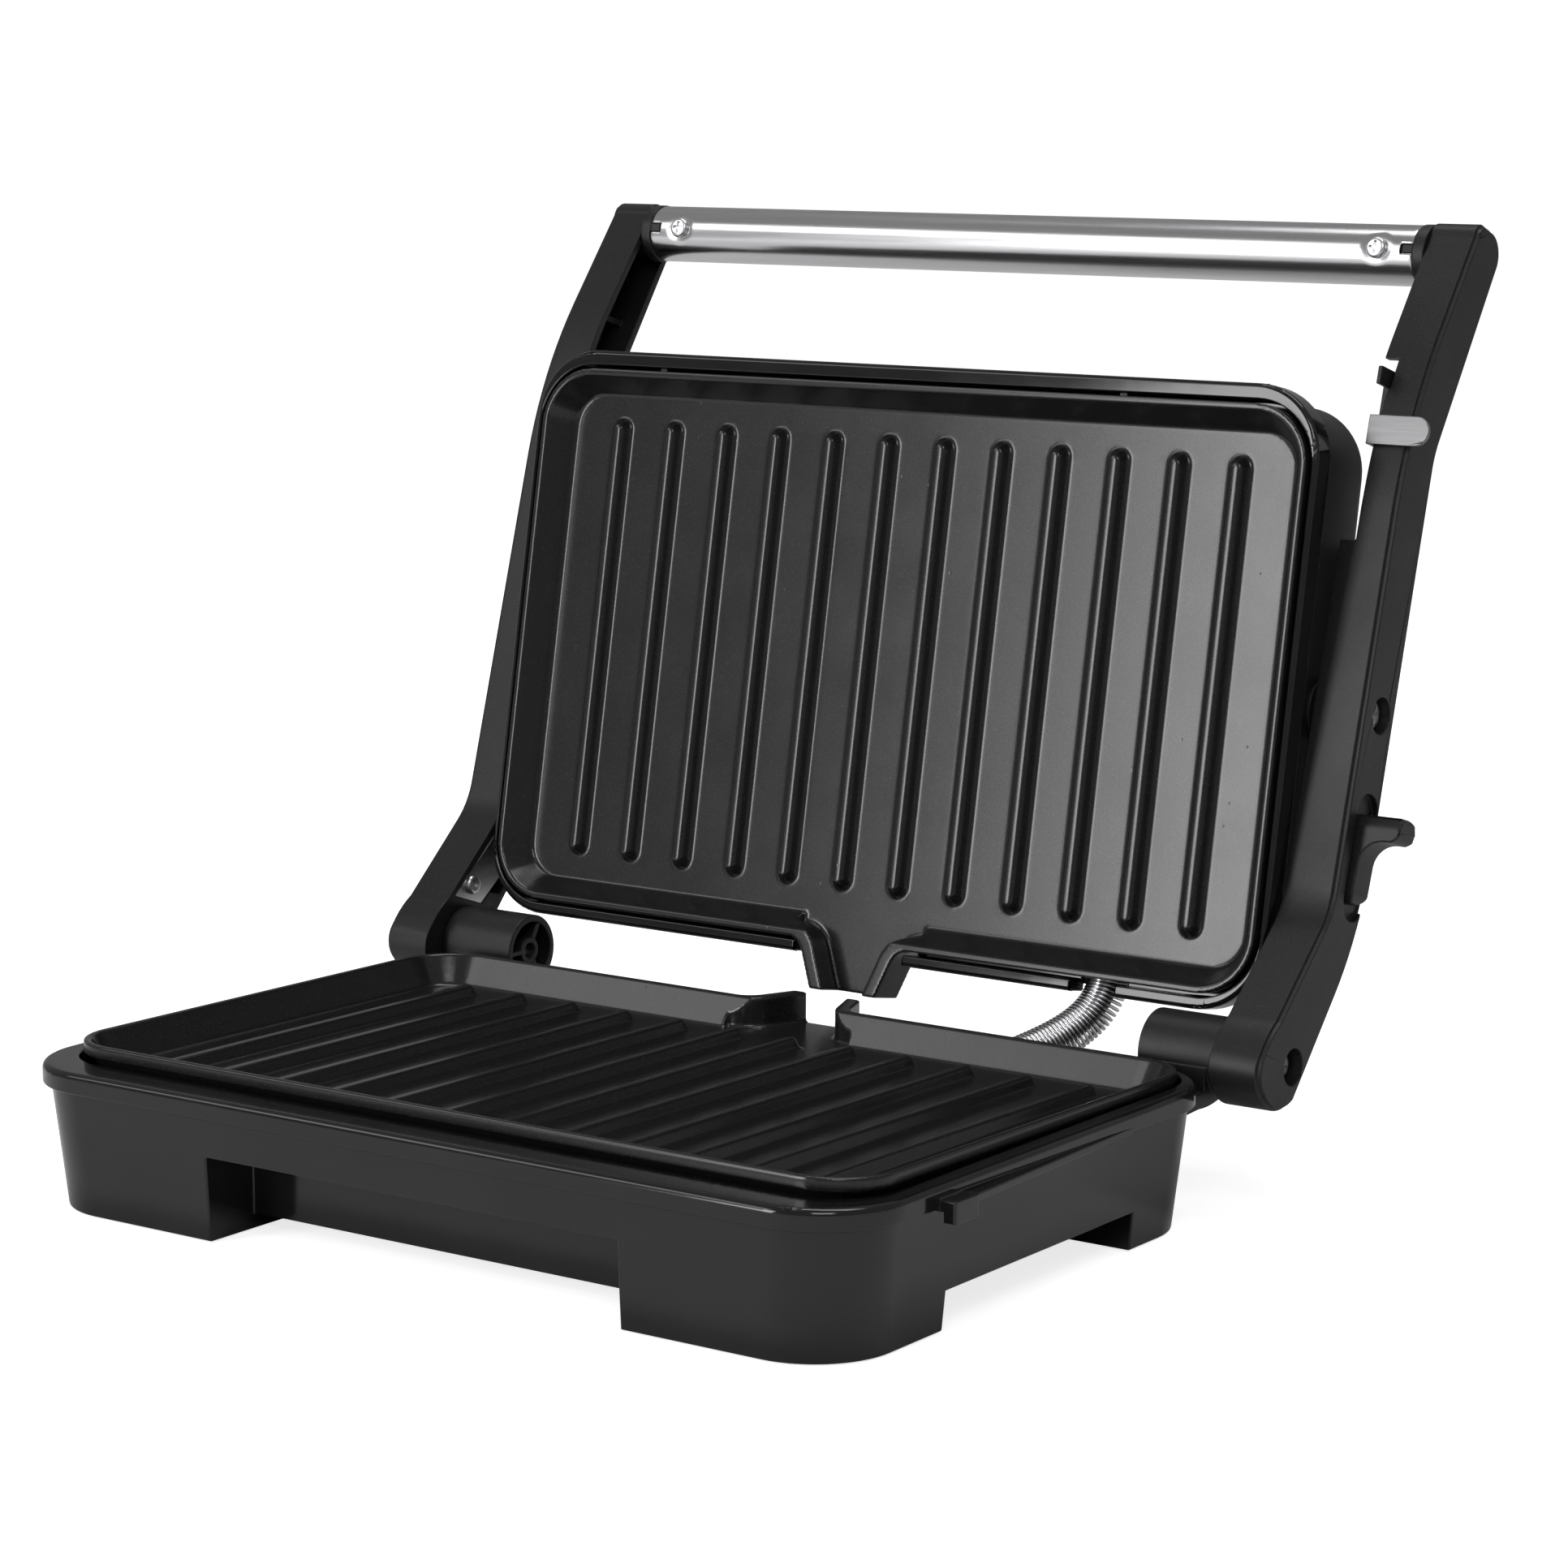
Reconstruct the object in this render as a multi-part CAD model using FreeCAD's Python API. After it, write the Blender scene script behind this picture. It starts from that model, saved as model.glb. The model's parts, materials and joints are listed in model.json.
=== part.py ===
"""Panini press: a base with a ribbed lower plate, and a floating lid with the same
plate that swings on two arms joined by a tubular handle.

Millimetres. X is to the right, Y to the back, Z up. The origin is on the table,
under the centre of the base. The arms, the lid and the plates are drawn in frames
of their own and then placed:

  lid frame   x, v along the lid away from the hinge, n towards the food
  arm frame   x, a along the arm away from the hinge, m towards the food
  plate frame x, v as on the lid, z up from the plate's floor
"""

import FreeCAD, Part
import math
import os

Vec = FreeCAD.Vector
X_AXIS = Vec(1, 0, 0)
Z_AXIS = Vec(0, 0, 1)

# ---- driving dimensions -------------------------------------------------------------

HINGE_Y = 88.0
HINGE_Z = 36.5
LID_LEAN = 10.62            # lid leans back from the vertical, degrees
ARM_LEAN = 16.4             # arms lean back from the vertical, degrees

PLATE_X = 115.0             # half width over the plate's lip
PLATE_V0 = 13.5             # lip's edge beside the hinge
PLATE_V1 = 154.5            # lip's far edge
PLATE_CORNER = 15.0
LIP_H = 7.7                 # lip's top above the floor
LIP_T = 3.2
LIP_W = 1.6                 # flat top of the lip
WALL_SLOPE = 4.4            # how far the inner wall leans over its height
FLOOR_T = 3.0
SPOUT_V = 0.8               # tip of the drain spout
SPOUT_TILT = 21.5           # how far the spout's sides close in, degrees
SPOUT_FLARE = 5.5           # radius where the sides run into the lip
SPOUT_FLARE_X = 18.74       # centre of that radius
SPOUT_WALL = 3.8
RIDGES = 12
RIDGE_PITCH = 17.0
RIDGE_V0 = 29.0             # centre of a ridge's rounded end
RIDGE_V1 = 139.3
RIDGE_FOOT = 6.0
RIDGE_TOP = 2.6
RIDGE_H = 2.9
RIDGE_ROUND = 0.9
BOSS_H = 8.0                # bottom of the screw bosses below the floor
PLATE_SCREW_R = 1.5

LOWER_FLOOR_Z = 29.35       # the lower plate's floor under the hinge
LOWER_SLOPE = 0.73          # the lower plate drains towards its spout, degrees
UPPER_FLOOR_N = -12.9       # the upper plate's floor in the lid frame

BASE_X = 119.0              # half width of the housing under its rim
BASE_Y0 = -76.0
BASE_Y1 = 76.5
BASE_CORNER = 19.5
DRAFT = 3.2                 # how much further in the walls stand at the table
HOUSING_Z0 = 0.3            # the rubber pads lift the legs off the table
RIM_Z0 = 30.0
RIM_Z1 = 35.0
RIM_OUT = 2.0               # how far the rim stands out from the wall
WALL = 2.4

RECESS_X = 59.3             # half width between the front legs
RECESS_Y = -59.6            # the sunk front panel
RECESS_Z = 20.5
SILL_Z = 4.0                # bottom of the sunk panel
TUNNEL_Y0 = -35.0           # gap between the legs at the sides
TUNNEL_Y1 = 41.8
TUNNEL_Z = 9.3
HATCH_X = 84.0              # opening under the base, closed by the bottom cover
HATCH_Y0 = -29.0
HATCH_Y1 = 35.0
HATCH_LAP = 6.0
COVER_SCREW_R = 1.4
CATCH_X = 125.0             # hooked side catch: outer face and front end
CATCH_Y0 = -44.2
PAD_R = 7.0
PAD_T = 1.6
PAD_SPOTS = [(x, y) for x in (-88.0, 88.0) for y in (-56.0, 58.0)]
GLAND_X = -72.0             # mains inlet in the rear wall
GLAND_Z = 17.0
GLAND_R = 5.0
LEAD_START = (56.77, 75.6, 28.1)    # the inner lead's end in the rear wall
LEAD_BEND = (58.5, 84.5, 32.0)
LEAD_R = 5.8

BARREL_R = 9.5
BARREL_X0 = 95.4
BARREL_X1 = 118.0
HINGE_SCREW_R = 2.0

ARM_X0 = 118.3              # arms: inner edge, lower part
ARM_X1 = 132.0              # arms: outer face
ARM_STEP_X = 122.5          # inner edge beside the latch
NOTCH_X = 123.0             # inner edge where the latch's hook passes
ARM_TOP_X = 119.2           # inner edge beside the handle
STEP_A0 = 126.0
NOTCH_A0 = 162.7
STEP_A1 = 171.4
ARM_WALL = 2.2
ARM_EDGE = 0.8              # small step round the outer face
ARM_EDGE_X = 130.9
ARM_SKIN = 2.6              # the arm's outer wall
RIB_DEEP = 6.0              # how far the ribs stand below the arm's inner edge
SCREW_DEPTH = 4.4           # how deep the hinge and pivot screws' heads sit
HEAD_R = 4.1
HINGE_HEAD_R = 3.2
HEAD_HOLE_R = 4.4
STRIP_SCREW = (15.0, 1.0)
STRIP_SCREW_R = 1.4
STRIP_IN = 1.4              # depth of the strip's inner face below the arm's edge

LEVER_M0 = -21.2
LEVER_M1 = -12.8
LEVER_X0 = 130.6
LEVER_STEM_M0 = -19.0
LEVER_STEM_M1 = -15.0
STRAP_A0 = 149.2
STRAP_A1 = 156.4
STRAP_X0 = 121.2
STRAP_X1 = 137.5
STRAP_T = 1.0
STRAP_M = -7.8
HOOK_A0 = 163.8
HOOK_A1 = 168.2
HOOK_X0 = 121.7
HOOK_X1 = 122.7
HOOK_M = -6.6

PIVOT_A = 85.8              # floating lid's pivot in the arm frame
PIVOT_M = -16.1
PIVOT_V = 83.8              # the same pivot in the lid frame
PIVOT_N = -24.7
PIVOT_R = 4.0
RUNNING = 0.3               # clearance round pins and sliders

HANDLE_A = 201.1
HANDLE_M = -32.0
TUBE_R = 7.5
TUBE_X = 116.1              # half length of the bare tube
TUBE_T = 1.0
COLLAR_R = 7.7              # collars between the tube and the arms
STUB_R = 5.0                # the end plugs' stubs in the arms
SCREW_X = 106.3
SCREW_SEAT_R = 3.1
SCREW_SEAT = 6.9            # height of a screw's flat seat over the tube's axis

BEZEL_X = 117.5
BEZEL_V0 = 9.6
BEZEL_V1 = 159.4
BEZEL_N0 = -13.0
BEZEL_N1 = -6.0
BEZEL_CORNER = 18.0
LEDGE_N0 = -18.2
COVER_X = 115.8
COVER_V0 = 11.5
COVER_V1 = 156.5
COVER_N0 = -35.5
COVER_CORNER = 16.5
COVER_ROUND = 4.0
BUSH_R = 7.5
LENS_R = 3.0
LENS_X = (-7.0, 7.0)
LENS_V = 134.0
LID_LEAD_X = 71.8           # where the leads leave the lid
LID_LEAD_N = -13.9
PLATE_GAP = 1.0             # gap between a plate's lip and what surrounds it

CONDUIT_R = 5.2

parts = {}


# ---- drawing helpers ----------------------------------------------------------------

def loop(start, *steps):
    """Closed flat outline. A step is a point for a straight run, or a pair of points
    for an arc through the first to the second."""
    edges = []
    here = Vec(*start, 0)
    for step in steps:
        if isinstance(step[0], tuple):
            via, end = Vec(*step[0], 0), Vec(*step[1], 0)
            edges.append(Part.Arc(here, via, end).toShape())
        else:
            end = Vec(*step, 0)
            edges.append(Part.LineSegment(here, end).toShape())
        here = end
    if here.distanceToPoint(Vec(*start, 0)) > 1e-6:
        edges.append(Part.LineSegment(here, Vec(*start, 0)).toShape())
    return Part.Wire(edges)


def rounded(x0, x1, y0, y1, r, z=0.0):
    """Rounded rectangle at height z."""
    k = r * (1 - math.sqrt(0.5))
    wire = loop(
        (x0 + r, y0), (x1 - r, y0), ((x1 - k, y0 + k), (x1, y0 + r)),
        (x1, y1 - r), ((x1 - k, y1 - k), (x1 - r, y1)),
        (x0 + r, y1), ((x0 + k, y1 - k), (x0, y1 - r)),
        (x0, y0 + r), ((x0 + k, y0 + k), (x0 + r, y0)),
    )
    wire.translate(Vec(0, 0, z))
    return wire


def prism(wire, z0, z1):
    face = Part.Face(wire)
    face.translate(Vec(0, 0, z0))
    return face.extrude(Vec(0, 0, z1 - z0))


def slab(x0, x1, y0, y1, r, z0, z1):
    return prism(rounded(x0, x1, y0, y1, r), z0, z1)


def block(x0, x1, y0, y1, z0, z1):
    return Part.makeBox(x1 - x0, y1 - y0, z1 - z0, Vec(x0, y0, z0))


def tapered(*wires):
    return Part.makeLoft(list(wires), True, True)


def x_cylinder(r, x0, x1, y, z):
    return Part.makeCylinder(r, x1 - x0, Vec(x0, y, z), X_AXIS)


def x_tube(r_out, r_in, x0, x1, y, z):
    return x_cylinder(r_out, x0, x1, y, z).cut(x_cylinder(r_in, x0 - 1, x1 + 1, y, z))


def z_cylinder(r, x, y, z0, z1):
    return Part.makeCylinder(r, z1 - z0, Vec(x, y, z0), Z_AXIS)


def side_prism(wire, x0, x1):
    """An outline drawn in (y, z), extruded along X."""
    solid = prism(wire, 0, x1 - x0)
    turn = FreeCAD.Rotation(Vec(0, 1, 0), Vec(0, 0, 1), X_AXIS, "ZXY")
    solid.Placement = FreeCAD.Placement(Vec(x0, 0, 0), turn)
    return solid


def soften(solid, radius, wanted):
    """Round the edges for which wanted(edge) is true."""
    return solid.makeFillet(radius, [e for e in solid.Edges if wanted(e)])


def at_height(z):
    """Test for the edges that lie flat at height z."""
    return lambda e: abs(e.BoundBox.ZMin - z) < 1e-4 and abs(e.BoundBox.ZMax - z) < 1e-4


def mirror_x(solid):
    return solid.mirror(Vec(0, 0, 0), X_AXIS)


def both_sides(solid):
    return [solid, mirror_x(solid)]


def leaning(solid, lean):
    """Place a solid drawn in the lid or arm frame."""
    out = solid.copy()
    out.Placement = FreeCAD.Placement(
        Vec(0, HINGE_Y, HINGE_Z), FreeCAD.Rotation(X_AXIS, 90.0 - lean)
    ).multiply(out.Placement)
    return out


def on_lid(solid):
    return leaning(solid, LID_LEAN)


def on_arm(solid):
    return leaning(solid, ARM_LEAN)


def on_base(solid):
    """Place a solid drawn in the plate frame on the base: v runs forwards, uphill."""
    out = solid.copy()
    turn = FreeCAD.Rotation(Z_AXIS, 180).multiply(FreeCAD.Rotation(X_AXIS, LOWER_SLOPE))
    out.Placement = FreeCAD.Placement(Vec(0, HINGE_Y, LOWER_FLOOR_Z), turn).multiply(out.Placement)
    return out


def under_lid(solid):
    """Place a solid drawn in the plate frame on the lid."""
    out = solid.copy()
    out.translate(Vec(0, 0, UPPER_FLOOR_N))
    return on_lid(out)


def keep(node, *solids):
    """Name a node: one solid, or a group of separate identical ones."""
    flat = []
    for item in solids:
        flat.extend(item if isinstance(item, list) else [item])
    parts[node] = flat[0] if len(flat) == 1 else Part.makeCompound(flat)


def one(shape):
    """The single solid of a boolean result."""
    solids = shape.Solids
    if len(solids) != 1:
        raise ValueError(f"expected one solid, got {len(solids)}")
    return solids[0]


# ---- grill plates -------------------------------------------------------------------

def ridge(x):
    """One raised bar with sloping sides and rounded ends."""
    def obround(width, z):
        half = width / 2
        return rounded(x - half, x + half, RIDGE_V0 - half, RIDGE_V1 + half, half - 1e-3, z)
    bar = tapered(obround(RIDGE_FOOT, -0.5), obround(RIDGE_TOP, RIDGE_H))
    return soften(bar, RIDGE_ROUND, at_height(RIDGE_H))


def spout_outline(grow):
    """Drain spout at the plate's hinge edge, flared where it meets the lip."""
    r = SPOUT_FLARE - grow
    tilt = math.radians(SPOUT_TILT)
    cx, cv = SPOUT_FLARE_X, PLATE_V0 - SPOUT_FLARE
    end = (cx - r * math.cos(tilt), cv + r * math.sin(tilt))
    half = tilt / 2 + math.pi / 4
    bulge = (cx - r * math.sin(half), cv + r * math.cos(half))
    run = end[1] - SPOUT_V
    tip = (end[0] - run * math.tan(tilt), SPOUT_V)
    return loop(
        (cx, 30), (cx, cv + r), (bulge, end), tip,
        (-tip[0], tip[1]), (-end[0], end[1]), ((-bulge[0], bulge[1]), (-cx, cv + r)), (-cx, 30),
    )


def plate_screw_spots():
    return [(x, v) for x in (-86.0, 86.0) for v in (34.0, 132.0)]


def inset_outline(inset, corner, z):
    """The plate's outline moved inwards, at height z."""
    return rounded(-PLATE_X + inset, PLATE_X - inset, PLATE_V0 + inset, PLATE_V1 - inset, corner, z)


def grill_plate():
    """Cast plate with a raised lip, ridges and a drain spout, floor top at z = 0, and
    four screw bosses underneath."""
    pan = tapered(
        inset_outline(4.6, PLATE_CORNER - 3, -FLOOR_T),
        inset_outline(1.6, PLATE_CORNER - 1, LIP_H - LIP_T),
    )
    lip = slab(-PLATE_X, PLATE_X, PLATE_V0, PLATE_V1, PLATE_CORNER, LIP_H - LIP_T, LIP_H)
    spout = prism(spout_outline(0), -FLOOR_T, LIP_H)
    plate = pan.fuse([lip, spout])
    foot = LIP_W + WALL_SLOPE
    hollow = tapered(
        inset_outline(foot, PLATE_CORNER - foot, 0),
        inset_outline(LIP_W, PLATE_CORNER - LIP_W, LIP_H),
    )
    channel = prism(spout_outline(-SPOUT_WALL), 0, LIP_H)
    channel = channel.cut(block(-40, 40, 26, 40, -1, LIP_H + 1))
    mouth = SPOUT_FLARE_X - SPOUT_FLARE - SPOUT_WALL - 3.5
    drip = block(-mouth, mouth, SPOUT_V - 1, SPOUT_V + 1, 0, LIP_H)
    bosses = [z_cylinder(4.0, x, v, -BOSS_H, -FLOOR_T + 0.5) for x, v in plate_screw_spots()]
    holes = [z_cylinder(PLATE_SCREW_R + 0.05, x, v, -BOSS_H - 1, -FLOOR_T - 0.5)
             for x, v in plate_screw_spots()]
    plate = plate.fuse(bosses).cut(hollow.fuse([channel, drip])).cut(Part.makeCompound(holes))
    first = -(RIDGES - 1) / 2 * RIDGE_PITCH
    bars = [ridge(first + i * RIDGE_PITCH) for i in range(RIDGES)]
    return one(plate.fuse(bars).removeSplitter())


def heating_element():
    """Tubular U heater under a plate, with straight cold ends at the hinge side."""
    r = 3.2
    z = -FLOOR_T - r - 0.2
    x1, x2, v0, v1, bend = 74.0, 30.0, 36.0, 132.0, 24.0
    k = bend * (1 - math.sqrt(0.5))
    p = [Vec(x2, v0, z), Vec(x1 - bend, v0, z), Vec(x1 - k, v0 + k, z), Vec(x1, v0 + bend, z),
         Vec(x1, v1 - bend, z), Vec(x1 - k, v1 - k, z), Vec(x1 - bend, v1, z)]
    q = [Vec(-c.x, c.y, c.z) for c in p]
    edges = [
        Part.LineSegment(p[0], p[1]).toShape(), Part.Arc(p[1], p[2], p[3]).toShape(),
        Part.LineSegment(p[3], p[4]).toShape(), Part.Arc(p[4], p[5], p[6]).toShape(),
        Part.LineSegment(p[6], q[6]).toShape(), Part.Arc(q[6], q[5], q[4]).toShape(),
        Part.LineSegment(q[4], q[3]).toShape(), Part.Arc(q[3], q[2], q[1]).toShape(),
        Part.LineSegment(q[1], q[0]).toShape(),
    ]
    ring = Part.Wire(Part.Circle(p[0], X_AXIS, r).toShape())
    return Part.Wire(edges).makePipeShell([ring], True, False)


def heat_reflector():
    """Shallow sheet-metal tray behind a heater."""
    top = -FLOOR_T - 7.0
    outer = slab(-100, 100, 24, 144, 14, top - 2.5, top)
    inner = slab(-99.2, 99.2, 24.8, 143.2, 13.2, top - 1.7, top + 1)
    holes = [z_cylinder(2.2, x, v, top - 4, top + 1) for x, v in plate_screw_spots()]
    return outer.cut(Part.makeCompound([inner] + holes))


def thermostat_body():
    """Round snap-disc thermostat under a reflector."""
    top = -FLOOR_T - 9.7
    return z_cylinder(8.0, 0, 84, top - 4.5, top).fuse(z_cylinder(5.0, 0, 84, top - 6.5, top - 4.5))


# ---- base ---------------------------------------------------------------------------

def base_wall(inset, z0, z1, rim_z=RIM_Z0):
    """The housing's drafted body between two heights, inset all round."""
    def section(z):
        d = inset + DRAFT * (rim_z - z) / rim_z
        y_draft = inset + 0.55 * DRAFT * (rim_z - z) / rim_z
        return rounded(-BASE_X + d, BASE_X - d, BASE_Y0 + y_draft, BASE_Y1 - y_draft,
                       BASE_CORNER - inset, z)
    return tapered(section(z0), section(z1))


def base_voids(grow):
    """The spaces between the legs, grown on every side by grow."""
    g = grow
    front = block(-RECESS_X - g, RECESS_X + g, -90, RECESS_Y + g, -5, RECESS_Z + g)
    tunnel = block(-130, 130, TUNNEL_Y0 - g, TUNNEL_Y1 + g, -5, TUNNEL_Z + g)
    sill = block(-RECESS_X - g, RECESS_X + g, RECESS_Y - 5, 90, -5, SILL_Z + g)
    return [front, tunnel, sill]


def rim_slab(grow=0.0):
    out = RIM_OUT + grow
    return slab(-BASE_X - out, BASE_X + out, BASE_Y0 - out, BASE_Y1 + out - 0.5, BASE_CORNER + out,
                RIM_Z0 - grow, RIM_Z1 + grow)


def lower_housing():
    """Gloss base shell: drafted walls, four legs, sunk front panel, flared rim."""
    body = base_wall(0, HOUSING_Z0, RIM_Z0)
    rim = soften(rim_slab(), 1.6, at_height(RIM_Z1))
    shell = body.fuse(rim).cut(Part.makeCompound(base_voids(0)))
    hollow = base_wall(WALL, HOUSING_Z0 + WALL, RIM_Z0 - 0.01)
    for void in base_voids(WALL):
        hollow = hollow.cut(void)
    gap = PLATE_GAP
    seat = slab(-PLATE_X - gap, PLATE_X + gap, HINGE_Y - PLATE_V1 - gap, HINGE_Y - PLATE_V0 + gap,
                PLATE_CORNER + gap, RIM_Z0 - 1, RIM_Z1 + 1)
    shell = shell.cut(hollow).cut(seat)
    ledge_top = -FLOOR_T - 0.05
    ledge = on_base(block(-130, 130, 0, 170, ledge_top - 2.2, ledge_top))
    window = slab(-PLATE_X + 10, PLATE_X - 10, BASE_Y0 + 18, BASE_Y1 - 12, 12, 10, RIM_Z1)
    shell = shell.fuse(ledge.common(base_wall(0.5, 10, RIM_Z0)).cut(window))
    spout_z = LOWER_FLOOR_Z - FLOOR_T
    spout_gap = block(-17.5, 17.5, HINGE_Y - PLATE_V0, 100, spout_z, RIM_Z1 + 1).fuse(
        block(-19.7, 19.7, HINGE_Y - PLATE_V0 - 4, HINGE_Y - PLATE_V0 + gap, spout_z, RIM_Z1 + 1))
    pockets = [z_cylinder(PAD_R + 0.3, x, y, -1, PAD_T + 0.05) for x, y in PAD_SPOTS]
    hatch = block(-HATCH_X, HATCH_X, HATCH_Y0, HATCH_Y1, TUNNEL_Z - 1, TUNNEL_Z + WALL + 1)
    gland = Part.makeCylinder(GLAND_R, 12, Vec(GLAND_X, BASE_Y1 - 8, GLAND_Z), Vec(0, 1, 0))
    lead_way = Vec(*LEAD_BEND) - Vec(*LEAD_START)
    lead = Part.makeCylinder(LEAD_R, 16, Vec(*LEAD_START) - lead_way * 0.4, lead_way)
    threads = [z_cylinder(COVER_SCREW_R + 0.05, x, y, TUNNEL_Z - 1, TUNNEL_Z + WALL + 1)
               for x, y in cover_screw_spots()]
    shell = shell.cut(Part.makeCompound([spout_gap, hatch, gland, lead] + threads + pockets))
    return one(shell.fuse(side_catch()).removeSplitter())


def side_catch():
    """Hooked catch on the right of the base and the fin that runs back from it."""
    top = RIM_Z0 + 2.0
    back = CATCH_Y0 + 9.1
    hook = block(116.5, CATCH_X, CATCH_Y0, back, top - 2.6, top).fuse(
        block(CATCH_X - 3.2, CATCH_X, CATCH_Y0, back, top - 5.0, top - 2.5))
    fin = prism(loop((117.0, back - 0.3), (124.2, back - 0.3), (121.0, 35.0), (117.0, 35.0)),
                top - 2.3, top - 0.2)
    return hook.fuse(fin)


def bottom_cover():
    """Flat hatch screwed up under the base between the legs."""
    top = TUNNEL_Z - 0.05
    cover = slab(-HATCH_X - HATCH_LAP, HATCH_X + HATCH_LAP, HATCH_Y0 - 5, HATCH_Y1 + 5, 4, top - 2, top)
    vents = [block(-40 + 10 * i, -36 + 10 * i, -15, 19, 0, 20) for i in range(9)]
    holes = [z_cylinder(1.6, x, y, 0, 20) for x, y in cover_screw_spots()]
    return one(cover.cut(Part.makeCompound(vents + holes)))


def cover_screw_spots():
    x = HATCH_X + HATCH_LAP / 2
    return [(side * x, y) for side in (-1, 1) for y in (HATCH_Y0 + 9, HATCH_Y1 - 9)]


def pan_screw(r_head, r_shank, length):
    """Screw along +Z with its head at z <= 0, and a cross recess in the head."""
    head = z_cylinder(r_head, 0, 0, -r_head * 0.55, 0)
    head = soften(head, r_head * 0.35, at_height(-r_head * 0.55))
    arm, groove = 0.6 * r_head, 0.15 * r_head
    cross = block(-arm, arm, -groove, groove, -r_head, -0.25 * r_head)
    other = cross.copy()
    other.rotate(Vec(0, 0, 0), Z_AXIS, 90)
    shank = z_cylinder(r_shank, 0, 0, 0, length)
    return one(head.fuse(shank).cut(cross).cut(other))


def turned(solid, direction, position):
    """A solid drawn along +Z, turned to a direction and moved to a position."""
    out = solid.copy()
    out.Placement = FreeCAD.Placement(Vec(*position), FreeCAD.Rotation(Z_AXIS, Vec(*direction)))
    return out


def rubber_pads():
    """Four pads let into the legs; they carry the press."""
    return [z_cylinder(PAD_R, x, y, 0, PAD_T) for x, y in PAD_SPOTS]


def hinge_bracket():
    """Right barrel and the web that carries it round the base's rear corner. The
    barrel's inner end is open and shows a hub on three spokes."""
    y, z = HINGE_Y, HINGE_Z
    drum = x_cylinder(BARREL_R, BARREL_X0, BARREL_X1, y, z)
    web = side_prism(loop(
        (60.0, 29.9), (78.2, 29.9), (78.2, 35.5), (84.0, 35.5), (94.0, 30.5),
        ((88.0, 27.6), (76.0, 26.2)), (60.0, 25.4),
    ), BARREL_X0 + 1.0, BARREL_X1 - 4.0)
    housing = base_wall(-0.05, 5.0, RIM_Z0).fuse(rim_slab(0.05))
    deep = 9.0
    cup = x_cylinder(BARREL_R - 1.8, BARREL_X0 - 1, BARREL_X0 + deep, y, z)
    hub = x_cylinder(3.6, BARREL_X0 + 0.6, BARREL_X0 + deep + 1, y, z)
    spokes = []
    for turn in (90, 210, 330):
        spoke = block(BARREL_X0 + 0.6, BARREL_X0 + deep + 1, y - 0.7, y + 0.7, z + 2, z + BARREL_R - 1)
        spoke.rotate(Vec(0, y, z), X_AXIS, turn)
        spokes.append(spoke)
    bore = x_cylinder(HINGE_SCREW_R, BARREL_X0 - 1, BARREL_X1 + 1, y, z)
    barrel = drum.fuse(web).cut(cup).fuse([hub] + spokes).cut(bore).cut(housing)
    return one(barrel.removeSplitter())


# ---- arms ---------------------------------------------------------------------------

def arm_outline():
    """Side view of an arm in (a, m): hub, knee, straight run and bent top."""
    return loop(
        (-8.0, -3.0), (18.0, -15.6), ((31.1, -20.6), (48.0, -23.3)), (146.0, -23.3),
        ((150.2, -23.6), (154.0, -24.6)), (200.5, -40.2), ((206.5, -38.6), (208.6, -33.5)),
        (208.9, -30.5), ((207.8, -28.0), (205.0, -26.8)), (177.7, -15.9), ((155.8, -9.5), (133.2, -7.3)),
        (44.0, -7.3), ((38.0, -6.6), (32.5, -4.2)), (10.0, 9.7), ((5.8, 13.0), (1.8, 15.0)),
        ((-3.6, 15.7), (-8.2, 12.2)), ((-10.9, 4.5), (-8.0, -3.0)),
    )


def in_arm(wire, x0, x1):
    """Extrude an (a, m) outline along X."""
    return side_prism(wire, x0, x1)


def arm_blank():
    inner = Part.Face(arm_outline())
    rim = inner.makeOffset2D(-ARM_EDGE)
    main = in_arm(arm_outline(), ARM_X0, ARM_EDGE_X)
    face = in_arm(rim.OuterWire, ARM_EDGE_X - 0.01, ARM_X1)
    return main.fuse(face)


def arm_pocket():
    """Hollow of an arm, open towards the lid, crossed by stiffening ribs."""
    hollow = Part.Face(arm_outline()).makeOffset2D(-ARM_WALL).OuterWire
    pocket = in_arm(hollow, ARM_X0 - 1, ARM_X1 - ARM_SKIN)
    hub = block(100, 140, -20, 14, -60, 40)
    ribs = [block(ARM_X0 + RIB_DEEP, 140, a, a + 1.6, -60, 40) for a in (34, 58, 104, 140, 174)]
    bosses = [x_cylinder(PIVOT_R + 3.5, 100, 140, PIVOT_A, PIVOT_M),
              x_cylinder(STUB_R + 1.4, 100, 140, HANDLE_A, HANDLE_M),
              x_cylinder(3.4, 100, 140, *STRIP_SCREW)]
    return pocket.cut(Part.makeCompound([hub] + ribs + bosses))


def arm_common():
    """Right arm without the latch and the release slot."""
    arm = arm_blank().cut(arm_pocket())
    arm = arm.cut(block(100, ARM_TOP_X, STEP_A0, 230, -60, 40))
    head = ARM_X1 - SCREW_DEPTH
    bores = [
        x_cylinder(HINGE_SCREW_R + RUNNING, 100, 140, 0, 0),
        x_cylinder(HEAD_HOLE_R, head - RUNNING, 140, 0, 0),
        x_cylinder(PIVOT_R, 100, head, PIVOT_A, PIVOT_M),
        x_cylinder(HEAD_HOLE_R, head, 140, PIVOT_A, PIVOT_M),
        x_cylinder(STUB_R, 100, ARM_X1 - 3, HANDLE_A, HANDLE_M),
        x_cylinder(STRIP_SCREW_R + 0.05, 100, ARM_X1 - ARM_SKIN, *STRIP_SCREW),
        in_arm(strip_outline(), 100, ARM_X0 + STRIP_IN + 0.05),
    ]
    return arm.cut(Part.makeCompound(bores))


def arm_left():
    return one(mirror_x(arm_common()).removeSplitter())


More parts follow.
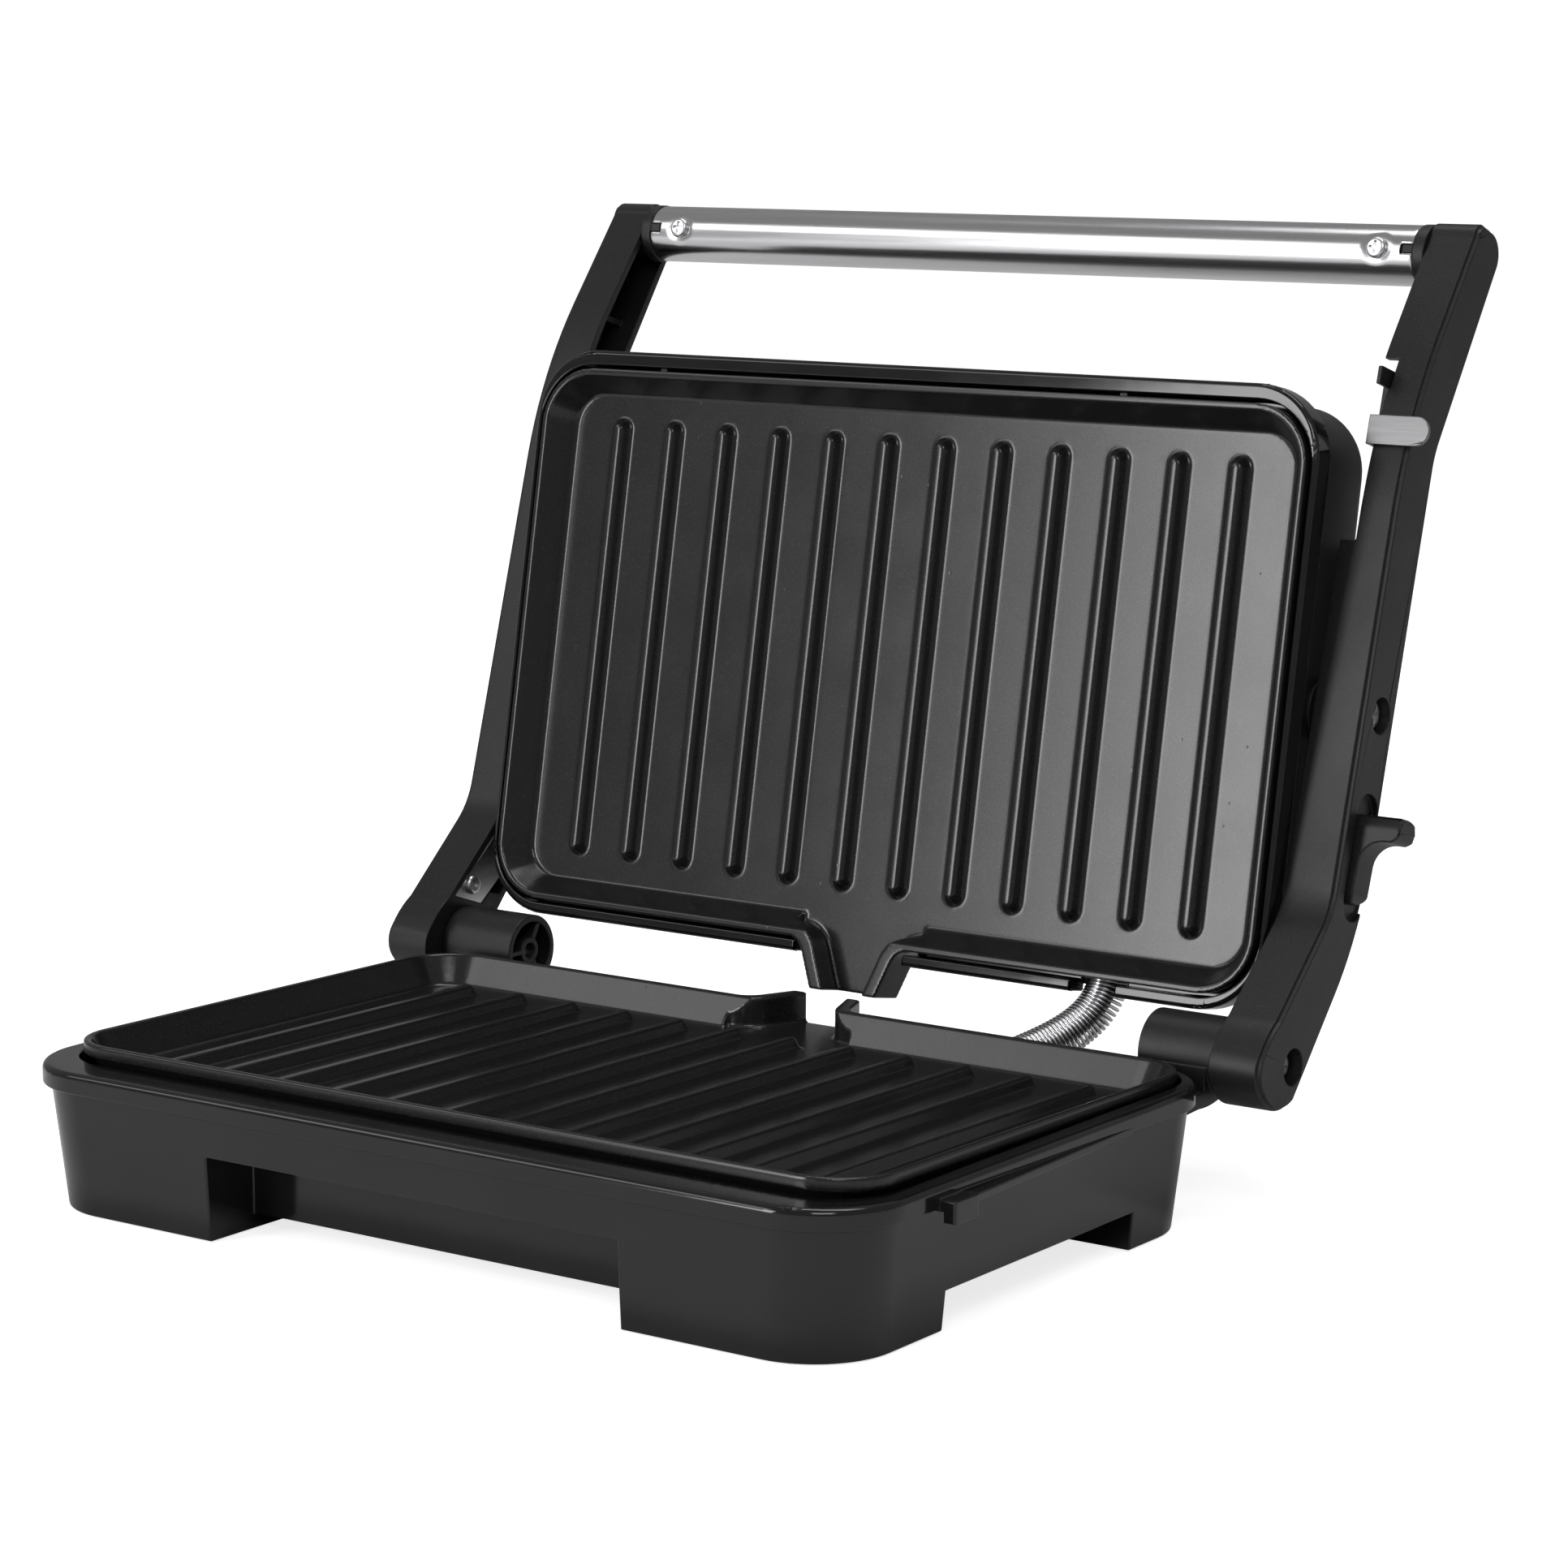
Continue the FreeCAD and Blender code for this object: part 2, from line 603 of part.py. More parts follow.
def arm_right():
    """Right arm: narrowed beside the latch, with a slot for the release lever."""
    narrow = block(100, ARM_STEP_X, STEP_A0, STEP_A1, -60, 40).fuse(
        block(100, NOTCH_X, NOTCH_A0, STEP_A1, -60, 40))
    recess = prism_in_arm_plane(36.5, 67.0, LEVER_M0 - 0.8, LEVER_M1 + 0.8, 4.6, LEVER_X0 - 0.3, 140)
    slot = block(100, 140, 46.5, 60.0, LEVER_STEM_M0 - RUNNING, LEVER_STEM_M1 + RUNNING)
    return one(arm_common().cut(Part.makeCompound([narrow, recess, slot])).removeSplitter())


def prism_in_arm_plane(a0, a1, m0, m1, r, x0, x1):
    return side_prism(rounded(a0, a1, m0, m1, r), x0, x1)


def release_lever():
    """Thumb lever: a flat body with a round nose that stands out from the arm."""
    nose = loop(
        (LEVER_X0, 62.0), (141.8, 62.0), ((142.7, 61.6), (143.1, 60.6)), (143.1, 58.2),
        ((142.3, 56.5), (140.4, 55.8)), (139.0, 55.8),
        ((135.2, 54.0), (133.6, 50.0)), (133.4, 43.5), ((132.8, 41.2), (131.2, 40.4)),
        (LEVER_X0, 40.4),
    )
    body = prism(nose, LEVER_M0, LEVER_M1)
    ends = prism_in_arm_plane(40.4, 62.2, LEVER_M0, LEVER_M1, 3.6, 100, 150)
    body = body.common(ends)
    stem = block(122.5, LEVER_X0 + 0.1, 48.5, 54.5, LEVER_STEM_M0, LEVER_STEM_M1)
    return one(body.fuse(stem))


def latch_strap():
    """Bent steel strap across the front of the right arm; its round end is the thumb tab."""
    half = (STRAP_A1 - STRAP_A0) / 2
    mid = STRAP_A0 + half
    top = prism(loop(
        (STRAP_X0, STRAP_A0), (STRAP_X1 - half, STRAP_A0), ((STRAP_X1, mid), (STRAP_X1 - half, STRAP_A1)),
        (STRAP_X0, STRAP_A1),
    ), STRAP_M, STRAP_M + STRAP_T)
    leg = block(STRAP_X0, STRAP_X0 + STRAP_T, STRAP_A0, STRAP_A1, -19.0, STRAP_M + STRAP_T)
    return one(top.fuse(leg).removeSplitter())


def latch_hook():
    """Black slide behind the strap with a hook that stands out in front of the arm."""
    back = STRAP_X0 - 1.6
    bar = block(back, STRAP_X0, STRAP_A0, HOOK_A1, -18.5, -14.5)
    bridge = block(back, HOOK_X1, HOOK_A0, HOOK_A1, -18.5, -14.5)
    post = block(HOOK_X0, HOOK_X1, HOOK_A0, HOOK_A1, -18.5, HOOK_M)
    return one(bar.fuse([bridge, post]).removeSplitter())


def handle_tube():
    """Polished tube with a notch and a dimpled screw seat at each end."""
    a, m = HANDLE_A, HANDLE_M
    tube = x_tube(TUBE_R, TUBE_R - TUBE_T, -TUBE_X, TUBE_X, a, m)
    cuts = [block(TUBE_X - 3.4, TUBE_X + 1, a - 1.3, a + 1.3, m + 4, m + 9),
            Part.makeCylinder(1.6, 12, Vec(SCREW_X, a, m), Z_AXIS),
            Part.makeCylinder(SCREW_SEAT_R, 4, Vec(SCREW_X, a, m + SCREW_SEAT), Z_AXIS)]
    cuts += [mirror_x(cut) for cut in cuts]
    return one(tube.cut(Part.makeCompound(cuts)))


def handle_plug():
    """Moulded end plug: collar, spigot inside the tube, key tab and stub in the arm."""
    a, m = HANDLE_A, HANDLE_M
    collar = x_cylinder(COLLAR_R, TUBE_X + 0.05, ARM_TOP_X, a, m)
    spigot = x_cylinder(TUBE_R - TUBE_T - 0.05, TUBE_X - 14, TUBE_X + 0.1, a, m)
    tab = block(TUBE_X - 2.9, TUBE_X + 0.1, a - 1.0, a + 1.0, m + 5, m + TUBE_R - 0.2)
    stub = x_cylinder(STUB_R - 0.05, ARM_TOP_X - 0.1, ARM_X1 - 3.2, a, m)
    hole = Part.makeCylinder(1.3, 12, Vec(SCREW_X, a, m), Z_AXIS)
    return one(collar.fuse([spigot, tab, stub]).cut(hole))


def strip_outline():
    return loop((11.2, 7.0), (31.0, -6.6), (44.0, -9.9), (44.0, -20.4), ((33.0, -18.6), (24.0, -14.4)),
                (10.6, -4.4))


def arm_strip():
    """Steel strip that stiffens the knee of an arm."""
    strip = in_arm(strip_outline(), ARM_X0 + 0.2, ARM_X0 + STRIP_IN)
    return one(strip.cut(x_cylinder(STRIP_SCREW_R + 0.1, 100, 140, *STRIP_SCREW)))


# ---- lid ----------------------------------------------------------------------------

def spout_clearance(n0, n1):
    """Room for the upper plate's spout in the lid's hinge edge."""
    return block(-16.5, 16.5, 0, 20, n0, n1).fuse(
        block(-19.7, 19.7, PLATE_V0 - PLATE_GAP, 20, n0, n1))


def lid_bezel():
    """Gloss frame round the upper plate, open at the drain spout, with an inner ledge
    that carries the plate."""
    def ring(out, x_in, n0, n1):
        """A ring whose outer and inner outlines stand out and x_in from the plate's lip."""
        outer = slab(-PLATE_X - out, PLATE_X + out, PLATE_V0 - out, PLATE_V1 + out,
                     PLATE_CORNER + out, n0, n1)
        inner = slab(-PLATE_X - x_in, PLATE_X + x_in, PLATE_V0 - x_in, PLATE_V1 + x_in,
                     max(PLATE_CORNER + x_in, 8), n0 - 1, n1 + 1)
        return outer.cut(inner)
    gap = PLATE_GAP
    outer = slab(-BEZEL_X, BEZEL_X, BEZEL_V0, BEZEL_V1, BEZEL_CORNER, BEZEL_N0, BEZEL_N1)
    outer = soften(outer, 1.2, at_height(BEZEL_N1))
    opening = slab(-PLATE_X - gap, PLATE_X + gap, PLATE_V0 - gap, PLATE_V1 + gap, PLATE_CORNER + gap,
                   BEZEL_N0 + 1, BEZEL_N1 + 1)
    throat = slab(-PLATE_X + 2.3, PLATE_X - 2.3, PLATE_V0 + 2.3, PLATE_V1 - 2.3, PLATE_CORNER - 2,
                  BEZEL_N0 - 1, BEZEL_N1)
    frame = outer.cut(opening).cut(throat)
    skirt = ring(-1.8, -2.8, LEDGE_N0, BEZEL_N0 + 0.2)
    ledge = ring(-1.8, -11.0, LEDGE_N0, UPPER_FLOOR_N - FLOOR_T - 0.3)
    mouth = spout_clearance(-30, 0)
    lead = block(LID_LEAD_X - 6.3, LID_LEAD_X + 6.5, 0, 20.5, -30, 0)
    return one(frame.fuse([skirt, ledge]).cut(Part.makeCompound([mouth, lead])))


def lid_cover():
    """Satin shell over the back of the lid, with pivot holes and lamp windows."""
    t = WALL
    outer = slab(-COVER_X, COVER_X, COVER_V0, COVER_V1, COVER_CORNER, COVER_N0, BEZEL_N0 - 0.05)
    outer = soften(outer, COVER_ROUND, at_height(COVER_N0))
    inner = slab(-COVER_X + t, COVER_X - t, COVER_V0 + t, COVER_V1 - t, COVER_CORNER - t,
                 COVER_N0 + t, BEZEL_N0 + 1)
    inner = soften(inner, COVER_ROUND - t, at_height(COVER_N0 + t))
    cuts = [x_cylinder(BUSH_R, -130, 130, PIVOT_V, PIVOT_N)]
    cuts += [z_cylinder(LENS_R, x, LENS_V, COVER_N0 - 1, COVER_N0 + 5) for x in LENS_X]
    cuts.append(Part.makeCylinder(LEAD_R, 12, Vec(LID_LEAD_X, COVER_V0 - 6, LID_LEAD_N), Vec(0, 1, 0)))
    cuts.append(spout_clearance(UPPER_FLOOR_N - FLOOR_T - 0.3, BEZEL_N0 + 1))
    cuts += [z_cylinder(3.4, x, v, COVER_N0 - 1, COVER_N0 + 5) for x, v in plate_screw_spots()]
    return one(outer.cut(inner).cut(Part.makeCompound(cuts)))


def lid_screws():
    """Long screws from the back of the lid into the plate's bosses."""
    seat = COVER_N0 + 2.2
    screw = pan_screw(3.0, PLATE_SCREW_R, UPPER_FLOOR_N - BOSS_H + 3.0 - seat)
    return [turned(screw, (0, 0, 1), (x, v, seat)) for x, v in plate_screw_spots()]


def pivot_bush():
    """Flanged bush in the side of the lid cover."""
    return x_tube(BUSH_R - 0.05, PIVOT_R + RUNNING, COVER_X - WALL, COVER_X + 0.8, PIVOT_V, PIVOT_N)


def pivot_pin():
    """Shouldered pin through the arm and the bush, with a cross-recessed head."""
    head = ARM_X1 - SCREW_DEPTH
    return turned(pan_screw(HEAD_R, PIVOT_R - 0.05, head - 112.5), (-1, 0, 0), (head, PIVOT_A, PIVOT_M))


def plate_clips():
    """Small sprung pegs that hold the upper plate at the far edge."""
    clips = []
    for x in (-78.0, 62.0):
        clips.append(slab(x - 1.0, x + 1.0, PLATE_V1 + 0.15, PLATE_V1 + 0.85, 0.3, BEZEL_N0 + 1.05, -7.4))
    return clips


def conduit_route():
    """From inside the base's rear wall to the notch in the lid's rear edge."""
    lean = math.radians(90 - LID_LEAN)
    along = Vec(0, math.cos(lean), math.sin(lean))
    inward = Vec(0, -math.sin(lean), math.cos(lean))
    lid_end = Vec(LID_LEAD_X, HINGE_Y, HINGE_Z) + along * 14.2 + inward * LID_LEAD_N
    return [Vec(*LEAD_START), Vec(*LEAD_BEND), lid_end - along * 10.5, lid_end]


def conduit():
    """Sprung steel sleeve for the leads between base and lid."""
    return rounded_pipe(conduit_route(), CONDUIT_R)


def rounded_pipe(route, radius):
    """Round tube along straight runs joined by tangent arcs as large as they allow."""
    edges = []
    here = route[0]
    for i in range(1, len(route) - 1):
        back = (route[i - 1] - route[i])
        ahead = (route[i + 1] - route[i])
        cut = 0.45 * min(back.Length, ahead.Length)
        turn = math.pi - back.getAngle(ahead)
        bend = cut / math.tan(turn / 2)
        a = route[i] + back.normalize() * cut
        b = route[i] + ahead.normalize() * cut
        inward = (back + ahead).normalize()
        mid = route[i] + inward * (bend / math.cos(turn / 2) - bend)
        edges.append(Part.LineSegment(here, a).toShape())
        edges.append(Part.Arc(a, mid, b).toShape())
        here = b
    edges.append(Part.LineSegment(here, route[-1]).toShape())
    ring = Part.Wire(Part.Circle(route[0], route[1] - route[0], radius).toShape())
    return Part.Wire(edges).makePipeShell([ring], True, False)


# ---- assembly -----------------------------------------------------------------------

def build_base():
    keep("lower_housing", lower_housing())
    keep("bottom_cover", bottom_cover())
    screw = pan_screw(2.6, COVER_SCREW_R, 5.0)
    keep("bottom_cover_screws", [turned(screw, (0, 0, 1), (x, y, TUNNEL_Z - 2.1))
                                 for x, y in cover_screw_spots()])
    keep("rubber_feet", rubber_pads())
    keep("lower_grill_plate", on_base(grill_plate()))
    keep("lower_heating_element", on_base(heating_element()))
    keep("lower_heat_reflector", on_base(heat_reflector()))
    keep("thermostat", on_base(thermostat_body()))
    bracket = hinge_bracket()
    keep("hinge_bracket_right", bracket)
    keep("hinge_bracket_left", mirror_x(bracket))
    head = ARM_X1 - SCREW_DEPTH
    screw = pan_screw(HINGE_HEAD_R, HINGE_SCREW_R - 0.05, head - BARREL_X0 - 3)
    screw = turned(screw, (-1, 0, 0), (head, HINGE_Y, HINGE_Z))
    keep("hinge_screws", both_sides(screw))
    keep("terminal_block", slab(-88, -64, 46, 60, 1, HOUSING_Z0 + WALL + 0.05, 12.0))
    gland = Part.makeCylinder(GLAND_R - 0.1, 6, Vec(GLAND_X, BASE_Y1 - 4.5, GLAND_Z), Vec(0, 1, 0))
    collar = Part.makeCylinder(GLAND_R + 2, 2.2, Vec(GLAND_X, BASE_Y1 + 0.1, GLAND_Z), Vec(0, 1, 0))
    bore = Part.makeCylinder(3.3, 20, Vec(GLAND_X, BASE_Y1 - 10, GLAND_Z), Vec(0, 1, 0))
    keep("cord_gland", one(gland.fuse(collar).cut(bore)))


def build_arms():
    keep("arm_right", on_arm(arm_right()))
    keep("arm_left", on_arm(arm_left()))
    keep("arm_strip_right", on_arm(arm_strip()))
    keep("arm_strip_left", on_arm(mirror_x(arm_strip())))
    screw = turned(pan_screw(2.6, STRIP_SCREW_R, 8.0), (1, 0, 0), (ARM_X0 + 0.15, *STRIP_SCREW))
    keep("arm_strip_screws", [on_arm(s) for s in both_sides(screw)])
    keep("handle_tube", on_arm(handle_tube()))
    keep("handle_plugs", [on_arm(s) for s in both_sides(handle_plug())])
    screw = turned(pan_screw(2.7, 1.25, 6.5), (0, 0, -1), (SCREW_X, HANDLE_A, HANDLE_M + SCREW_SEAT + 0.02))
    keep("handle_screws", [on_arm(s) for s in both_sides(screw)])
    keep("pivot_pins", [on_arm(s) for s in both_sides(pivot_pin())])
    keep("release_lever", on_arm(release_lever()))
    spring = Part.makeCylinder(1.9, 6.5, Vec(125.5, 39.5, (LEVER_STEM_M0 + LEVER_STEM_M1) / 2), Vec(0, 1, 0))
    keep("lever_spring", on_arm(spring))
    keep("latch_strap", on_arm(latch_strap()))
    keep("latch_hook", on_arm(latch_hook()))


def build_lid():
    keep("upper_grill_plate", under_lid(grill_plate()))
    keep("upper_heating_element", under_lid(heating_element()))
    keep("upper_heat_reflector", under_lid(heat_reflector()))
    keep("lid_bezel", on_lid(lid_bezel()))
    keep("lid_cover", on_lid(lid_cover()))
    keep("lid_screws", [on_lid(s) for s in lid_screws()])
    keep("pivot_bushes", [on_lid(s) for s in both_sides(pivot_bush())])
    keep("plate_clips", [on_lid(s) for s in plate_clips()])
    for side, x in zip(("ready", "power"), LENS_X):
        lens = z_cylinder(LENS_R - 0.1, x, LENS_V, COVER_N0 - 0.8, COVER_N0 + 4)
        lens = soften(lens, 0.7, at_height(COVER_N0 - 0.8))
        keep(f"{side}_lens", on_lid(lens))
    keep("thermal_fuse", on_lid(x_cylinder(2.0, -16, -2, 84, UPPER_FLOOR_N - FLOOR_T - 11.9)))
    keep("wiring_conduit", conduit())


def main():
    build_base()
    build_arms()
    build_lid()
    os.makedirs("parts", exist_ok=True)
    for node, shape in parts.items():
        if not shape.isValid() or not shape.Solids:
            raise ValueError(f"{node} is not a valid solid")
        shape.exportStep(f"parts/{node}.step")
        print(f"{node:24s} {len(shape.Solids)} solids {shape.Volume / 1000:8.2f} cm3")


main()
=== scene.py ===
"""Looks of the panini press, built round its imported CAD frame. Metres, Z up."""

import json
import math

import bpy
import bmesh
from mathutils import Matrix, Vector
from mathutils.bvhtree import BVHTree


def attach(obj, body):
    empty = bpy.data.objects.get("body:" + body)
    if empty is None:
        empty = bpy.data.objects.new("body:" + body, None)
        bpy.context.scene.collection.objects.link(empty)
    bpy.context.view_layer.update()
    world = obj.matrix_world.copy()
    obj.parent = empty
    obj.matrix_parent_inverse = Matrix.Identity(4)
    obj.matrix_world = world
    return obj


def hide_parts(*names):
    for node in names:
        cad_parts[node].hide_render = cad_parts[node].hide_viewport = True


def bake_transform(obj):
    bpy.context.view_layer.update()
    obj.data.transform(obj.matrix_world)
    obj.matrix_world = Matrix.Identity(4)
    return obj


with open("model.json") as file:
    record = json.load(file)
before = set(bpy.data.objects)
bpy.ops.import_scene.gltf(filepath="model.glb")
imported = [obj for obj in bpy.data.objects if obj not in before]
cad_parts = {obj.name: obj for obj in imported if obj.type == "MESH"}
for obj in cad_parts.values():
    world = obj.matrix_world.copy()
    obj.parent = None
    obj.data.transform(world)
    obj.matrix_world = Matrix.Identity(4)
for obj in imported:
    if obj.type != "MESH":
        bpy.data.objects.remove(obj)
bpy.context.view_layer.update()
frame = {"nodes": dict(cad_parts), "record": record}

MM = 0.001
NODES = frame["nodes"]
RECORD = frame["record"]
SLOT_OF = {part["node"]: part["material_slot"] for part in RECORD["subparts"]}
BODY_OF = {node: body for body, members in RECORD["behaviour"]["bodies"].items() for node in members}

HINGE = Vector((0, 88.0, 36.5)) * MM
LID_LEAN = math.radians(10.62)
ARM_LEAN = math.radians(16.4)

# the handle, in the arm's frame
HANDLE_A = 201.1 * MM
HANDLE_M = -32.0 * MM
TUBE_R = 7.5 * MM
TUBE_X = 116.1 * MM
TUBE_T = 1.0 * MM
NOTCH_LONG = 3.4 * MM
NOTCH_HALF = 1.3 * MM
SCREW_X = 106.3 * MM
DIMPLE_R = 4.6 * MM
DIMPLE_DEEP = 0.65 * MM
END_ROUNDING = 0.15 * MM

# the sprung sleeve between base and lid
SLEEVE_ROUTE = [Vector(p) * MM for p in (
    (56.77, 75.6, 28.1), (60.5, 90.5, 31.0), (71.8, 101.6, 35.0), (71.8, 104.28, 47.9))]
SLEEVE_R = 4.75 * MM
WIRE_R = 0.46 * MM
WIRE_PITCH = 1.12 * MM
LEAD_R = 1.6 * MM
LEAD_SPACING = 3.4 * MM

# a rounded corner further than this from the CAD surface, in widths, goes back to it
STRAY = 0.45

# the castings' remeshing
CAST_VOXEL = 0.45 * MM
CAST_KEPT = 0.20            # share of the triangles kept after thinning

PLATE_SLOPE = math.radians(0.73)
FLOOR_LIFT = 0.78           # how much the floor glows for the camera alone
SKY_STRENGTH = 0.28

# ---- camera, floor and light ---------------------------------------------------------


def add_camera():
    data = bpy.data.cameras.new("camera")
    data.lens = 98.74
    data.sensor_width = 36.0
    data.clip_start = 0.01
    camera = bpy.data.objects.new("camera", data)
    camera.location = (0.60362, -0.77428, 0.26834)
    camera.rotation_euler = (math.pi / 2 - 0.1675, 0, 0.6214)
    bpy.context.scene.collection.objects.link(camera)
    bpy.context.scene.camera = camera


def add_light(name, place, target, size, power):
    data = bpy.data.lights.new(name, "AREA")
    data.shape = "RECTANGLE"
    data.size, data.size_y = size
    data.energy = power
    light = bpy.data.objects.new(name, data)
    light.location = place
    aim = Vector(target) - Vector(place)
    light.rotation_euler = aim.to_track_quat("-Z", "Y").to_euler()
    bpy.context.scene.collection.objects.link(light)


def new_piece(name, vertices, faces):
    data = bpy.data.meshes.new(name)
    data.from_pydata(vertices, [], faces)
    data.validate()
    for face in data.polygons:
        face.use_smooth = True
    piece = bpy.data.objects.new(name, data)
    bpy.context.scene.collection.objects.link(piece)
    return piece


def lathe(name, profile, around):
    """Surface of revolution about Z; profile is (radius, height) from the inside out."""
    vertices = []
    for radius, height in profile:
        for j in range(around):
            angle = 2 * math.pi * j / around
            vertices.append((radius * math.cos(angle), radius * math.sin(angle), height))
    faces = []
    for i in range(len(profile) - 1):
        for j in range(around):
            k = (j + 1) % around
            faces.append((i * around + j, i * around + k, (i + 1) * around + k, (i + 1) * around + j))
    faces.append(tuple(range(around))[::-1])
    return new_piece(name, vertices, faces)


def add_studio():
    """White floor that curves up all round, a white sky and soft lamps."""
    reach, rise, top = 3.2, 1.2, 3.5
    profile = [(0.5, 0.0), (reach, 0.0)]
    for i in range(1, 13):
        turn = math.pi / 2 * i / 12
        profile.append((reach + rise * math.sin(turn), rise - rise * math.cos(turn)))
    profile.append((reach + rise, top))
    floor = lathe("studio_floor", profile, 96)
    floor.data.materials.append(studio_paper())

    world = bpy.data.worlds.new("sky")
    bpy.context.scene.world = world
    world.use_nodes = True
    sky = world.node_tree.nodes["Background"]
    sky.inputs["Color"].default_value = (1, 1, 1, 1)
    sky.inputs["Strength"].default_value = SKY_STRENGTH
    centre = (0, 0.05, 0.1)
    add_light("key", (0.95, -1.2, 1.35), centre, (0.7, 0.7), 7)
    add_light("sheen", (-0.66, -1.45, 0.42), (0, 0, 0.12), (0.40, 0.9), 10)
    add_light("fill", (-0.95, -0.95, 1.0), (0, 0.03, 0.03), (0.7, 0.5), 2.8)
    add_light("top", (0, 0.3, 1.8), centre, (1.4, 0.5), 10)
    bpy.context.scene.view_settings.view_transform = "Standard"


# ---- materials -----------------------------------------------------------------------


def studio_paper():
    """White paper that looks evenly lit to the camera."""
    material = bpy.data.materials.new("studio_paper")
    material.use_nodes = True
    tree = material.node_tree
    shader = tree.nodes["Principled BSDF"]
    shader.inputs["Base Color"].default_value = (0.86, 0.86, 0.86, 1)
    shader.inputs["Roughness"].default_value = 0.9
    shader.inputs["Emission Color"].default_value = (1, 1, 1, 1)
    seen = tree.nodes.new("ShaderNodeLightPath").outputs["Is Camera Ray"]
    lift = tree.nodes.new("ShaderNodeMath")
    lift.operation = "MULTIPLY"
    lift.inputs[1].default_value = FLOOR_LIFT
    tree.links.new(seen, lift.inputs[0])
    tree.links.new(lift.outputs["Value"], shader.inputs["Emission Strength"])
    return material


class Finish:
    """A Principled material with small helpers for procedural detail."""

    def __init__(self, name, **sockets):
        self.material = bpy.data.materials.new(name)
        self.material.use_nodes = True
        self.tree = self.material.node_tree
        self.shader = self.tree.nodes["Principled BSDF"]
        for socket, value in sockets.items():
            self.shader.inputs[socket.replace("_", " ")].default_value = value
        self.place = self.tree.nodes.new("ShaderNodeTexCoord").outputs["Object"]

    def stretched(self, stretch):
        if not stretch:
            return self.place
        mapping = self.tree.nodes.new("ShaderNodeMapping")
        mapping.inputs["Scale"].default_value = stretch
        self.tree.links.new(self.place, mapping.inputs["Vector"])
        return mapping.outputs["Vector"]

    def noise(self, scale, detail=3.0, rough=0.5, stretch=None):
        node = self.tree.nodes.new("ShaderNodeTexNoise")
        node.inputs["Scale"].default_value = scale
        node.inputs["Detail"].default_value = detail
        node.inputs["Roughness"].default_value = rough
        self.tree.links.new(self.stretched(stretch), node.inputs["Vector"])
        return node.outputs["Fac"]

    def cells(self, scale):
        node = self.tree.nodes.new("ShaderNodeTexVoronoi")
        node.inputs["Scale"].default_value = scale
        self.tree.links.new(self.place, node.inputs["Vector"])
        return node.outputs["Distance"]

    def remap(self, value, low, high, out_low, out_high):
        node = self.tree.nodes.new("ShaderNodeMapRange")
        node.inputs["From Min"].default_value = low
        node.inputs["From Max"].default_value = high
        node.inputs["To Min"].default_value = out_low
        node.inputs["To Max"].default_value = out_high
        self.tree.links.new(value, node.inputs["Value"])
        return node.outputs["Result"]

    def ramp(self, value, *stops):
        node = self.tree.nodes.new("ShaderNodeValToRGB")
        elements = node.color_ramp.elements
        while len(elements) < len(stops):
            elements.new(0.5)
        for element, (where, colour) in zip(elements, stops):
            element.position = where
            element.color = (*colour, 1)
        self.tree.links.new(value, node.inputs["Fac"])
        return node.outputs["Color"]

    def colour(self, output):
        self.tree.links.new(output, self.shader.inputs["Base Color"])

    def roughness(self, output):
        self.tree.links.new(output, self.shader.inputs["Roughness"])

    def bump(self, *layers):
        """layers are (height output, distance in metres, strength)."""
        normal = None
        for height, distance, strength in layers:
            node = self.tree.nodes.new("ShaderNodeBump")
            node.inputs["Distance"].default_value = distance
            node.inputs["Strength"].default_value = strength
            self.tree.links.new(height, node.inputs["Height"])
            if normal:
                self.tree.links.new(normal, node.inputs["Normal"])
            normal = node.outputs["Normal"]
        self.tree.links.new(normal, self.shader.inputs["Normal"])


def grey(value):
    return (value, value, value * 1.02)


def gloss_black():
    """Polished moulding: faint waviness and haze, a few dust specks."""
    f = Finish("gloss_black_moulding", Specular_IOR_Level=0.5)
    f.colour(f.ramp(f.noise(40, 4), (0.35, grey(0.005)), (0.65, grey(0.008))))
    f.roughness(f.remap(f.noise(25, 5, 0.6), 0.3, 0.7, 0.07, 0.13))
    f.bump((f.noise(60, 2), 0.00020, 0.15), (f.noise(2500, 2), 0.00001, 0.15))
    return f.material


def satin_black(name, tone, rough, specular=0.5):
    """Spark-eroded moulding: fine even grain."""
    f = Finish(name, Specular_IOR_Level=specular)
    grain = f.noise(2600, 2, 0.6)
    f.colour(f.ramp(grain, (0.35, grey(tone * 0.7)), (0.60, grey(tone * 1.2)), (0.72, grey(tone * 2.4))))
    f.roughness(f.remap(f.noise(30, 4), 0.3, 0.7, rough - 0.05, rough + 0.07))
    f.bump((grain, 0.00005, 0.55), (f.noise(120, 2), 0.0001, 0.08))
    return f.material


def nonstick():
    """Baked coating on cast aluminium: specks, slight flow marks, scattered pits."""
    f = Finish("nonstick_coating", Specular_IOR_Level=0.5)
    speck = f.noise(2600, 2, 0.7)
    f.colour(f.ramp(speck, (0.30, grey(0.008)), (0.62, grey(0.013)), (0.76, grey(0.05))))
    f.roughness(f.remap(f.noise(60, 5, 0.6), 0.3, 0.7, 0.19, 0.22))
    pits = f.remap(f.cells(110), 0.02, 0.05, 0.0, 1.0)
    f.bump((speck, 0.00002, 0.30), (f.noise(300, 3), 0.00003, 0.05), (pits, 0.00008, 0.30))
    return f.material


def steel(name, tone, rough, stretch, scale=400, spread=0.08):
    f = Finish(name, Metallic=1.0)
    grain = f.noise(scale, 4, 0.65, stretch)
    f.colour(f.ramp(grain, (0.3, grey(tone * 0.9)), (0.7, grey(tone))))
    f.roughness(f.remap(grain, 0.25, 0.75, rough, rough + spread))
    f.bump((grain, 0.00001, 0.35))
    return f.material


